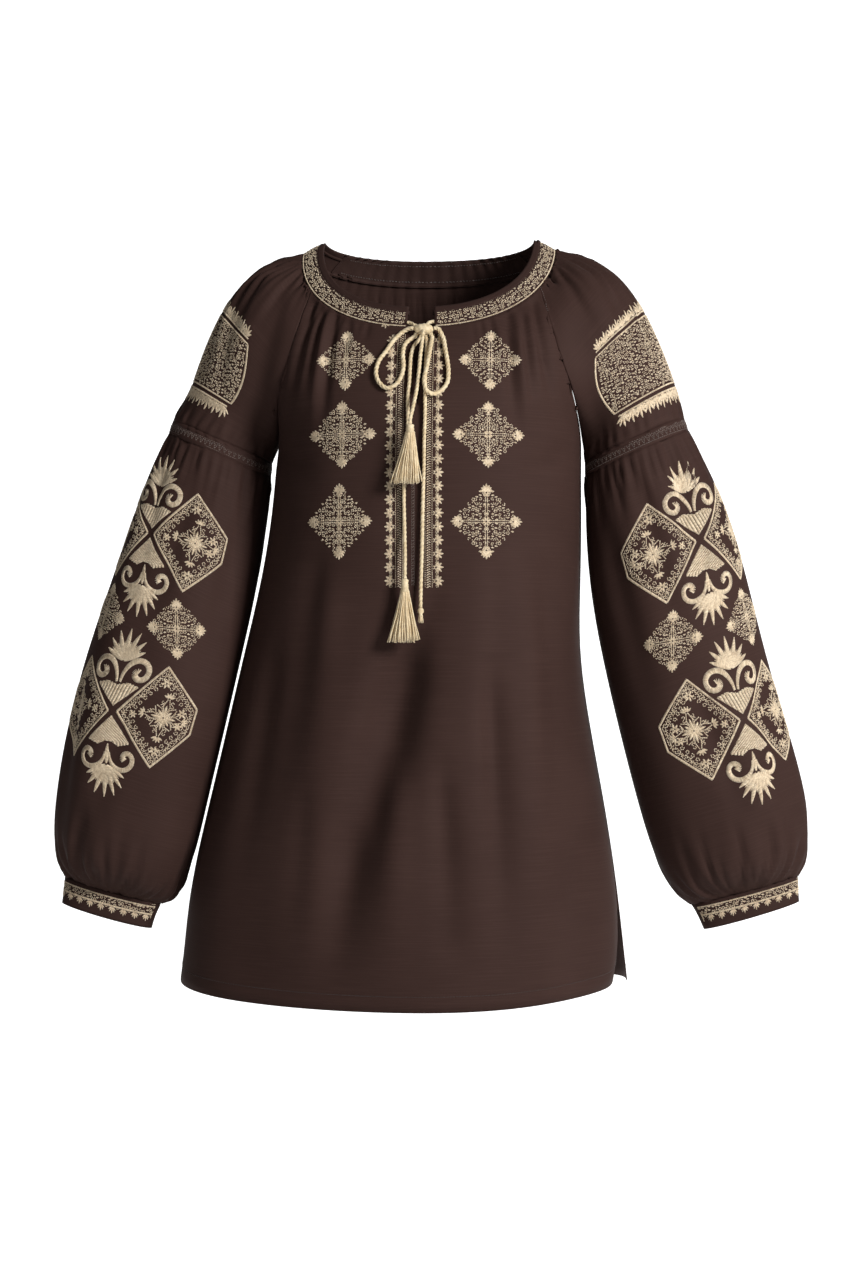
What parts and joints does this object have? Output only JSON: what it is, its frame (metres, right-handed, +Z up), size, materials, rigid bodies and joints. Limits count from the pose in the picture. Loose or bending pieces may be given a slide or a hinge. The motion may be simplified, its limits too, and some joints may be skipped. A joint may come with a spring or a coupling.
{
  "type": "vyshyvanka blouse",
  "caption": "Long-sleeved raglan blouse, worn and empty, with balloon sleeves, cuffs, side vents and a tied tasselled neck cord.",
  "frame": {"origin": "where the shoulders carry the blouse: between the shoulder tops, level with the neckband's upper edge at its sides", "axes": "+Z up along the wearer, -Y out of the front, +X towards the sleeve on the viewer's right"},
  "size_m": [0.7486, 0.31, 0.7467],
  "materials": {
    "cloth": "soft woven viscose",
    "band": "dense embroidery on cloth",
    "binding": "plain folded cloth",
    "insertion": "openwork stitching on cloth",
    "cord": "twisted cotton cord"
  },
  "bodies": {
    "root": {"front": "cloth", "back": "cloth", "upper_sleeve_left": "cloth", "upper_sleeve_right": "cloth", "lower_sleeve_left": "cloth", "lower_sleeve_right": "cloth", "sleeve_insertion_left": "insertion", "sleeve_insertion_right": "insertion", "cuff_left": "band", "cuff_right": "band", "neckband_left": "band", "neckband_right": "band", "neck_binding_left": "binding", "neck_binding_right": "binding", "neck_casing_back": "binding", "tie_knot": "cord", "tie_loop_left": "cord", "tie_loop_right": "cord", "tie_tail_lower": "cord", "tie_tail_upper": "cord", "tie_tail_knotted": "cord", "tie_end_knot": "cord", "tassel_upper": "cord", "tassel_lower": "cord", "tie_stub_left": "cord", "tie_stub_right": "cord"}
  },
  "joints": []
}
